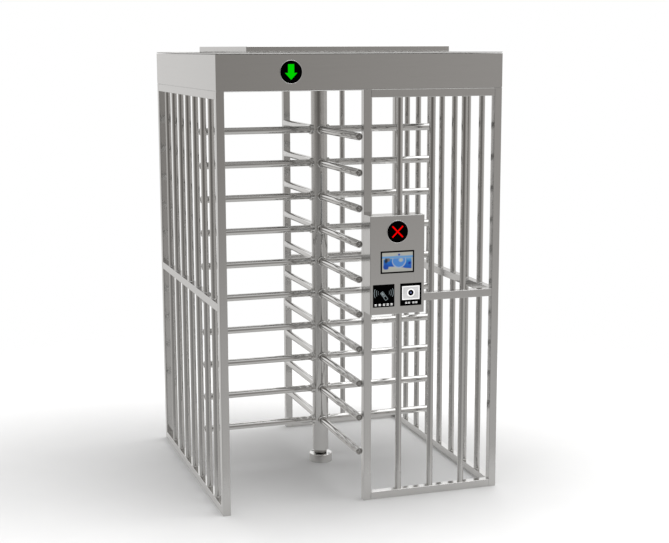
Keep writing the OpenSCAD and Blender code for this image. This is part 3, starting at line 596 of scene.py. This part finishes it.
def fold(length, face, way, out, level, rise, rounded_ends):
    """Folded edge of a fascia: a quarter circle of the fold radius carried along the length, with
    the sheet's thickness inside it, pulled in by the same curve at ends that turn a corner."""
    turn = np.linspace(np.pi / 2, 0, 9)
    outer = np.stack([FOLD * np.sin(turn) - FOLD, FOLD - FOLD * np.cos(turn)], 1)
    inner = np.stack([(FOLD - SHEET) * np.sin(turn) - FOLD, FOLD - (FOLD - SHEET) * np.cos(turn)], 1)
    end = [(-FOLD - 0.3, 0), (-FOLD - 0.3, SHEET)]
    profile = np.concatenate([[(0, FOLD + 0.01)], outer, end, inner[::-1], [(-SHEET, FOLD + 0.01)]])[::-1]
    near = FOLD * (1 - np.cos(np.linspace(0, np.pi / 2, 6))) if rounded_ends else np.array([0.0])
    levels = np.concatenate([near, length - near[::-1]])
    drop = FOLD - np.sqrt(np.maximum(0, FOLD**2 - (FOLD - near) ** 2)) if rounded_ends else np.zeros(1)
    drops = np.concatenate([drop, drop[::-1]])
    outlines = np.stack([np.stack([profile[:, 0], -rise * np.maximum(profile[:, 1], d)], 1) for d in drops])
    start = np.asarray(face, float) * (1, 1, 0) - way * length / 2 + Z * level
    return skin(placed(outlines[:, ::rise], levels, start, way, out), way)


def fascia_parts(length, return_length, face, way, holes=(), rounded_ends=False):
    """Fascia sheet: a flat web with softened edges and holes, a rounded fold along its top and a
    folded return along its bottom. face is the middle of the outer face, way points along it."""
    out = np.cross(way, Z)
    web = box_outline(length, CAGE_H - 2 * FOLD - RAIL_TOP, 0.1, 1)
    back = np.asarray(face, float) - out * SHEET
    skirt = [web(0.0), web(0.0), web(0.15), web(0.5)]
    for ring in skirt[2:]:
        ring[:, 1] = skirt[0][:, 1]
    rim = skin(placed(skirt, [0, SHEET - 0.5, SHEET - 0.15, SHEET], back, out, way), way)
    rim["flats"] = []
    faces = holed_plate(skirt[3], holes, back, out, way, SHEET)
    first = len(skirt[3])
    faces["quads"] = faces["quads"][first:]
    folds = [fold(length, face, way, out, CAGE_H, 1, rounded_ends), fold(length, face, way, out, RAIL_TOP, -1, False)]
    inwards, middle = SHEET + RETURN_DEPTH / 2, RAIL_TOP + SHEET / 2
    start = np.asarray(face, float) * (1, 1, 0) - way * return_length / 2 - out * inwards + Z * middle
    flange = straight(box_outline(RETURN_DEPTH, SHEET, 0.4, 1), return_length, start, way, out, edge=0.2, steps=1)
    return [rim, faces] + folds + [flange]


lamp_hole = round_outline(LAMP_HOLE_R, 72)() + (ARROW_AT[0], 0)
conduit_hole = round_outline(CONDUIT_HOLE_R, 40)() + (CONDUIT_X, 0)
side_fascias = []
for x, way in ((CAGE_W / 2, Y), (-CAGE_W / 2, -Y)):
    side_fascias += fascia_parts(SIDE_FASCIA_LENGTH, SIDE_RETURN_LENGTH, (x, 0, FASCIA_MID), way)
front_fascia = fascia_parts(CAGE_W, END_RETURN_LENGTH, (0, FRONT, FASCIA_MID), X, [lamp_hole], True)
rear_fascia = fascia_parts(CAGE_W, END_RETURN_LENGTH, (0, -FRONT, FASCIA_MID), -X, [conduit_hole], True)
put("front_fascia_sheet", front_fascia, SATIN, nodes=["front_fascia"])
put("rear_fascia_sheet", rear_fascia, SATIN, nodes=["rear_fascia"])
put("side_fascia_sheets", side_fascias, SATIN, nodes=["side_fascias"])

roof, hatch = box_outline(ROOF_W, ROOF_D, 2.0), box_outline(HATCH_W, HATCH_D, 2.0)
roof_rings = [roof(), roof(), roof(0.6), hatch(-4.0), hatch(-2.0), hatch(-2.0), hatch(-1.4), hatch(), hatch()]
roof_levels = [0, 1.4, 2, 2, 3.5, 25.5, 26, 25.6, 0]
roof_sheet = skin(placed(roof_rings, roof_levels, (0, 0, ROOF_FOOT), Z, X), X, closed=True)
put("roof_sheet", [roof_sheet], SATIN, nodes=["roof_panel"], weighted=True)
cover = tray(box_outline(COVER_W, COVER_D, 3.0), COVER_H, (0, 0, CAGE_H), Z, X)
put("roof_cover_tray", [cover], SATIN, "roof_cover", ["roof_cover"], weighted=True)

# ---------------------------------------------------------------- rotor

column_h = COLUMN_TOP - COLUMN_FOOT
column_profile = [(0, COLUMN_R - 1.2), (0.4, COLUMN_R - 0.4), (1.2, COLUMN_R)]
column_profile += [(column_h - 1, COLUMN_R), (column_h, COLUMN_R - 1)]
column = turned(column_profile, (0, 0, COLUMN_FOOT), Z, X, 96)
put("column_tube", [column], POLISHED, "rotor", ["rotor_column"])

WINGS = (("front_wing", -90), ("right_wing", 0), ("rear_wing", 90), ("left_wing", 180))
swell = np.linspace(0, np.pi / 2, 7)


def rounded_rim(end, radius, reach, drop):
    """Quarter of an ellipse in a profile: from the outside radius in to the end's level."""
    return [(end - reach + reach * math.sin(t), radius - drop + drop * math.cos(t)) for t in swell]


ARM_PROFILE = [(38, ARM_R), (664.5, ARM_R), (664.9, 18.85), (665, 18.6), (665, 17.5), (660, 17.5)]
COLLAR_PROFILE = [(34, COLLAR_R), (50, COLLAR_R)]
COLLAR_PROFILE += rounded_rim(COLLAR_END, COLLAR_R, COLLAR_ROUND, COLLAR_ROUND)
COLLAR_PROFILE += [(56.2, 20.5), (55.3, 19.8), (54.4, 19.1)]
CAP_PROFILE = [(657, 17.3), (664.9, 17.3), (665.05, 18.85), (665.3, 19)]
CAP_PROFILE += rounded_rim(ARM_REACH, ARM_R, CAP_ROUND, ARM_R - CAP_FLAT_R)
CAP_PROFILE += [(669.8, 14.4), (669.3, 13.9), (668.5, 13.6)]
CAP_FACE = [(667.9, 13.7), (668.6, 13.6), (668.9, 13.2), (668.8, 11.5), (668.6, 9.2)]
CAP_BUTTON = [(668.3, 8.6), (668.9, 8.4), (669.3, 7.4), (669.55, 5.0), (669.65, 1.5)]

collars, caps, faces, buttons = [], [], [], []
for name, angle in WINGS:
    way = np.array([math.cos(math.radians(angle)), math.sin(math.radians(angle)), 0.0]).round(12)
    levels = [(0, 0, z) for z in ARM_LEVELS]
    arms = [turned(ARM_PROFILE, at, way, Z, 48) for at in levels]
    put(name + "_arms", arms, POLISHED, "rotor", [name])
    collars += [turned(COLLAR_PROFILE, at, way, Z, 48) for at in levels]
    caps += [turned(CAP_PROFILE, at, way, Z, 48) for at in levels]
    faces += [turned(CAP_FACE, at, way, Z, 40) for at in levels]
    buttons += [turned(CAP_BUTTON, at, way, Z, 32) for at in levels]
put("arm_root_collars", collars, POLISHED, "rotor", ["arm_collars"], sharp=60)
put("arm_tip_caps", caps, POLISHED, "rotor", ["arm_end_caps"], sharp=60)
put("arm_tip_faces", faces, CAP_STEEL, "rotor", sharp=60)
put("arm_tip_buttons", buttons, POLISHED, "rotor", sharp=60)

# The spigot neck takes the darker cap steel. This is partly its own steel colour and partly painted shade for the dark
# gap under the column.
neck = [(10, 19.5), (10.5, 20), (49.2, 20), (49.3, 34), (49.8, 34.5), (67, 34.5), (97, 34.5)]
put("pivot_neck", [turned(neck, (0, 0, 0), Z, X, 64)], CAP_STEEL, "rotor", ["pivot_spigot"])

# ---------------------------------------------------------------- floor socket

bush = [(6, 20.1), (6, 26), (46, 26), (46.05, 33.7), (46.4, 34), (48.1, 34), (48.5, 33.6), (48.5, 20.1)]
put("pivot_bush", [turned(bush, (0, 0, 0), Z, X, 64, closed=True)], PLASTIC, nodes=["socket_bush"])

quarters = np.pi / 4 + np.arange(4) * np.pi / 2
bolt_places = [BOLT_CIRCLE_R * np.array([math.cos(a), math.sin(a)]) for a in quarters]
counterbores = [round_outline(COUNTERBORE_R, 32)() + p for p in bolt_places]
bolt_holes = [round_outline(BOLT_R, 24)() + p for p in bolt_places]
bush_hole = round_outline(BUSH_R, 64)()
side_profile = [(0, SOCKET_R), (43.8, SOCKET_R), (44.2, 64.4), (45.8, 62.8), (SOCKET_H, 62.4)]
socket_side = turned(side_profile, (0, 0, 0), Z, X, 96)
socket_side["flats"] = []
top_outline, base_outline = round_outline(62.4, 96)(), round_outline(64.4, 96)()
top_start = (0, 0, SOCKET_FLOOR)
socket_top = holed_plate(top_outline, [bush_hole] + counterbores, top_start, Z, X, SOCKET_H - SOCKET_FLOOR)
socket_base = holed_plate(base_outline, bolt_holes, (0, 0, 0), Z, X, SOCKET_FLOOR)
put("socket_body", [socket_side, socket_top, socket_base], SATIN, nodes=["floor_socket"])

# ---------------------------------------------------------------- lamps

for name, at in (("arrow", ARROW_AT), ("cross", CROSS_AT)):
    lens = [(-40, 52), (-3.2, 52), (-3, 55), (0.9, 55), (1.3, 54.85), (1.5, 54.4)]
    put(name + "_lamp_lens", [turned(lens, at, -Y, X, 96)], LENS, nodes=[name + "_lamp"])
bezel = [(0, 57.5), (1.9, 57.5), (2.35, 57.3), (2.5, 56.9), (2.5, 55.7), (2.35, 55.3), (1.9, 55.1), (0, 55.1)]
rings = [turned(bezel, at, -Y, X, 96, closed=True) for at in (ARROW_AT, CROSS_AT)]
put("lamp_rings", rings, CHROME, nodes=["lamp_bezels"], sharp=60)

arrow = np.array([(0, -37.5), (31, -4.5), (15.5, -4.5), (15.5, 37.5), (-15.5, 37.5), (-15.5, -4.5), (-31, -4.5)])
put("arrow_symbol", [flat_mark(arrow, ARROW_AT, PRINT_BACK, 1.7)], GREEN)
stroke = box_outline(79.0, 7.2, 0.8, 2)()
lean = np.array([[1, 1], [-1, 1]]) / math.sqrt(2)
strokes = [flat_mark(stroke @ lean, CROSS_AT, PRINT_BACK, 1.7), flat_mark(stroke @ lean.T, CROSS_AT, PRINT_BACK, 1.72)]
put("cross_symbol", strokes, RED)

# ---------------------------------------------------------------- control box

case_start = (CASE_W / 2, FRONT, CASE_Z + CASE_H / 2)
case = tray(box_outline(CASE_W, CASE_H, 3.0), FRONT - CASE_FRONT, case_start, -Y, X)
put("control_box_shell", [case], SATIN, nodes=["control_case"], weighted=True)


def module(at, width, height, back, recess=None, raised=0.0):
    """Flanged module: body behind the wall, flange in front with softened edges, and a recess."""
    flange, body = box_outline(width, height, 2.0), box_outline(width - 4.4, height - 4.4, 2.0)
    rings = [body(), body(), flange(), flange(), flange(0.2), flange(0.6)]
    levels = [-back, -0.1, 0.02, 1.0, 1.35, 1.5]
    if recess:
        opening = box_outline(*recess, 1.0)
        rings += [opening(inset) + (0, raised) for inset in (0.0, 0.2, 0.25)]
        levels += [1.5, 1.4, 0.6]
    return skin(placed(rings, levels, at, -Y, X), -Y)


display = module(DISPLAY_AT, DISPLAY_W, DISPLAY_H, 30.0, (OPENING_W, OPENING_H))
put("display_bezel", [display], PLASTIC, nodes=["display"], weighted=True)
screen_mark = flat_mark(box_outline(SCREEN_W, SCREEN_H, 0.8)(), DISPLAY_AT, 0.55, 0.85)
screen = put("display_screen", [screen_mark], PICTURE)
corners = np.zeros(len(screen.data.vertices) * 3)
which = np.zeros(len(screen.data.loops), int)
screen.data.vertices.foreach_get("co", corners)
screen.data.loops.foreach_get("vertex_index", which)
corners = corners.reshape(-1, 3)[which] / MM
across = (corners[:, 0] - DISPLAY_AT[0]) / SCREEN_W + 0.5
upwards = (corners[:, 2] - DISPLAY_AT[2]) / SCREEN_H + 0.5
flat = np.stack([across, upwards], 1).astype(np.float32)
screen.data.uv_layers.new(name="screen").data.foreach_set("uv", flat.ravel())

card_reader = module(CARD_AT, READER, READER, READER_BACK)
put("card_reader_face", [card_reader], PLASTIC, nodes=["card_reader"], weighted=True)


def arc(radius, line, middle, half, count=20):
    """Part of a ring between two radii, either side of a middle angle in degrees."""
    turn = np.radians(np.linspace(middle - half, middle + half, count))
    around = np.stack([np.cos(turn), np.sin(turn)], 1)
    return np.concatenate([around * (radius + line / 2), around[::-1] * (radius - line / 2)])


def tilted(outline, degrees, shift=(0, 0)):
    """Outline turned about its centre, then moved."""
    a = math.radians(degrees)
    return outline @ np.array([[math.cos(a), math.sin(a)], [-math.sin(a), math.cos(a)]]) + shift


waves = [flat_mark(arc(r, line, side, half) + (0, 15), CARD_AT, PRINT_BACK, PRINT_FACE)
         for side in (0, 180) for r, line, half in ((30, 1.5, 19), (40, 2.1, 22), (51, 2.4, 25))]
card = box_outline(17, 50, 3.0)
lean_and_shift = (36, (2, -1))
card_rings = [tilted(card(inset), *lean_and_shift) for inset in (0, 0, 2.4, 2.4)]
card_levels = [PRINT_BACK, 1.65, 1.65, PRINT_BACK]
card_marks = [skin(placed(card_rings, card_levels, CARD_AT, -Y, X), -Y, closed=True)]
card_marks += [flat_mark(tilted(box_outline(w, h, 1.0, 1)() + (0, y), *lean_and_shift), CARD_AT, PRINT_BACK, 1.64)
               for w, h, y in ((9.5, 15, 13.5), (9.5, 3, 1.5), (9.5, 3, -3.5))]
put("card_reader_signs", waves + card_marks, GREY_PRINT)
dashes = [flat_mark(box_outline(w, 3.6, 1.2, 2)() + (x, y), CARD_AT, PRINT_BACK, PRINT_FACE)
          for x, w in ((-43, 11.5), (-21.5, 12.5), (1, 11.5), (21, 12.5), (41.5, 11.5)) for y in (-42.0, -48.0)]
put("card_reader_dashes", dashes, WHITE_PRINT)

code_reader = module(CODE_AT, READER, READER, READER_BACK, (95.0, 71.0), WINDOW_RISE)
put("code_reader_frame", [code_reader], PLASTIC, nodes=["code_reader"], weighted=True)
window_at = (CODE_AT[0], CODE_AT[1], CODE_AT[2] + WINDOW_RISE)
border = flat_mark(box_outline(94.2, 70.2, 0.8, 2)(), window_at, 0.5, 0.8)
put("code_reader_border", [border], WINDOW_EDGE)
put("code_reader_window", [flat_mark(box_outline(84, 60, 1.5)(), window_at, 0.7, 1.0)], WINDOW)
halo = [(0.9, 20.6), (1.12, 20.4), (1.15, 19.8), (1.15, 14.6), (0.9, 14.4)]
put("code_reader_halo", [turned(halo, window_at, -Y, X, 56, closed=True)], WINDOW_EDGE, sharp=60)
barrel = [(0.8, 14.5), (1.3, 14.5), (1.48, 14.2), (1.5, 13.4), (1.35, 10.5), (1.2, 8.2), (1.15, 5)]
put("code_reader_lens_ring", [turned(barrel, window_at, -Y, X, 56)], LENS, sharp=60)
dome = [(1.0 + 0.42 * math.cos(t), 5.0 * math.sin(t)) for t in np.linspace(np.pi / 2, 0.12, 7)]
put("code_reader_lens", [turned(dome, window_at, -Y, X, 40)], LENS_BLUE, sharp=60)
code_dashes = [flat_mark(box_outline(w, 2.9, 1.0, 2)() + (x, y), CODE_AT, PRINT_BACK, PRINT_FACE)
               for x, w in ((-25, 11), (-10, 11), (14, 12), (29.5, 12)) for y in (-40.2, -45.2)]
put("code_reader_dashes", code_dashes, WHITE_PRINT)

# ---------------------------------------------------------------- finishes of the nodes kept from the CAD

KEPT = {
    "ceiling_panel": SATIN_SHEET, "head_beams": ZINC, "head_plate": ZINC, "head_bolts": BLACKENED,
    "bearing_housing": BLACKENED, "bearing_outer_race": BEARING, "bearing_balls": BEARING,
    "bearing_inner_race": BEARING, "spindle": ZINC, "drive_gear": BLACKENED, "damper_pinion": BLACKENED,
    "damper_body": ZINC, "lock_disc": ZINC, "pawl_pins": ZINC, "entry_pawl": BLACKENED, "exit_pawl": BLACKENED,
    "entry_plunger": CHROME, "exit_plunger": CHROME, "solenoids": COIL, "turn_sensor": NICKEL,
    "controller_box": PAINT, "power_supply": PAINT, "signal_harness": CABLE, "case_back_plate": ZINC,
}
for name, finish in KEPT.items():
    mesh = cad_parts[name].data
    mesh.materials.clear()
    mesh.materials.append(finish)

# ---------------------------------------------------------------- studio


def studio_floor():
    """Pale floor: rings of points round the origin, faded out with distance, with a painted shadow of two soft dark
    ellipses under the cage subtracted from its colour. Reflections see half of it close by and none of it further off."""
    radius = np.linspace(0.0005, 4.2, 30)[::-1] / MM
    ring = round_outline(1, 96)()
    part = skin(placed(radius[:, None, None] * ring, np.zeros(30), (0, 0, -0.3), Z, X))
    part["flats"] = [part["flats"][1]]
    material, tree, shader = new_finish("studio_floor")
    place = node(tree, "TexCoord").outputs["Object"]
    far = node(tree, "VectorMath", {"operation": "DISTANCE"}, i0=place, i1=(-0.1, 0.0, 0.0)).outputs["Value"]
    fade = eased(tree, far, 1.1, 3.9, 1.0, 0.0)
    path = node(tree, "LightPath")
    distant = eased(tree, path.outputs["Ray Length"], 0.15, 0.85, 0.5, 1.0)
    unseen = maths(tree, "MULTIPLY", distant, path.outputs["Is Glossy Ray"])
    seen = maths(tree, "SUBTRACT", 1.0, unseen)
    tree.links.new(maths(tree, "MULTIPLY", fade, seen), shader.inputs["Alpha"])
    cloud = node(tree, "TexNoise", Vector=place, Scale=3.0, Detail=3.0).outputs[0]
    tone = spread(tree, cloud, 0.935, 0.950, 0.3, 0.7)
    # Painted shadow: each ellipse (centre x, y, widths wide and deep, darkness depth) darkens the floor's colour where
    # the cage's shadow falls.
    for x, y, wide, deep, depth in ((0.37, -0.24, 2.0, 1.8, 0.33), (-1.47, 0.54, 2.8, 2.1, 0.27)):
        shadow_space = node(tree, "Mapping", {"vector_type": "TEXTURE"}, i0=place, i1=(x, y, 0.0), i3=(wide, deep, 1.0))
        reach = node(tree, "VectorMath", {"operation": "LENGTH"}, i0=shadow_space.outputs[0]).outputs["Value"]
        tone = maths(tree, "SUBTRACT", tone, eased(tree, reach, 0.0, 1.0, depth, 0.0))
    tree.links.new(tone, shader.inputs["Base Color"])
    shader.inputs["Roughness"].default_value = 0.7
    shader.inputs["Specular IOR Level"].default_value = 0.15
    mesh = bpy.data.meshes.new("studio_floor")
    mesh.from_pydata(part["points"] * MM, [], part["quads"].tolist() + [f.tolist() for f in part["flats"]])
    mesh.materials.append(material)
    floor = bpy.data.objects.new("studio_floor", mesh)
    bpy.context.scene.collection.objects.link(floor)


def studio_surround():
    """Surroundings that the metal shows: a tone for each compass direction, brighter overhead
    and towards the floor. Straight ahead, the camera sees plain white."""
    world = bpy.data.worlds.new("studio")
    bpy.context.scene.world = world
    world.use_nodes = True
    tree = world.node_tree
    tree.nodes.clear()
    part = node(tree, "SeparateXYZ", i0=node(tree, "TexCoord").outputs["Generated"])
    bearing = maths(tree, "ARCTAN2", part.outputs[0], maths(tree, "MULTIPLY", part.outputs[1], -1.0))
    turn = spread(tree, bearing, 0.0, 1.0, -math.pi, math.pi)
    height = part.outputs[2]
    tones = [(-180, .82), (-165, .79), (-141, .68), (-117, .70), (-99, .58), (-82, .42), (-68, .3),
             (-53, .235), (-40, .175), (-25, .15), (-12, .175), (1, .27), (13, .345), (25, .455),
             (43, .50), (59, .58), (77, .64), (100, .62), (120, .62), (145, .72), (180, .82)]
    low_tones = [(-180, .60), (-165, .74), (-140, .60), (-120, .44), (-90, .44), (-60, .38), (-40, .34),
                 (-18, .34), (-4, .43), (13, .60), (20, .62), (27, .585), (60, .56), (100, .55),
                 (145, .5), (180, .60)]
    warm = [((a + 180) / 360, (t, t * (0.93 + 0.07 * t), t * (0.86 + 0.14 * t))) for a, t in tones]
    neutral = [((a + 180) / 360, (t, t * 0.985, t * 0.965)) for a, t in low_tones]
    around = ramp(tree, turn, warm)
    low_around = ramp(tree, turn, neutral)
    above = blend(tree, eased(tree, height, 0.12, 0.8), around, (0.88, 0.88, 0.88, 1))
    lower = blend(tree, eased(tree, height, -0.05, -0.31), above, low_around)
    below = blend(tree, eased(tree, height, -0.40, -0.75), lower, (0.74, 0.735, 0.725, 1))
    level_band = maths(tree, "MULTIPLY", eased(tree, height, 0.15, 0.27), eased(tree, height, 0.55, 0.35))
    rear_wall = maths(tree, "MULTIPLY", level_band, eased(tree, part.outputs[1], 0.70, 0.90))
    below = blend(tree, rear_wall, below, (1.2, 1.2, 1.2, 1))
    surround = node(tree, "Background", i0=below, i1=1.0).outputs[0]
    plain = node(tree, "Background", i0=(1, 1, 1, 1), i1=1.0).outputs[0]
    seen = node(tree, "LightPath").outputs["Is Camera Ray"]
    both = node(tree, "MixShader", i0=seen, i1=surround, i2=plain).outputs[0]
    node(tree, "OutputWorld", i0=both)


studio_floor()
studio_surround()
key = bpy.data.lights.new("soft_key", "SUN")
key.energy, key.angle = 1.7, math.radians(62)
soft_key = bpy.data.objects.new("soft_key", key)
soft_key.rotation_euler = (-Vector((0.34, 0.04, 0.94))).to_track_quat("-Z", "Y").to_euler()
bpy.context.scene.collection.objects.link(soft_key)
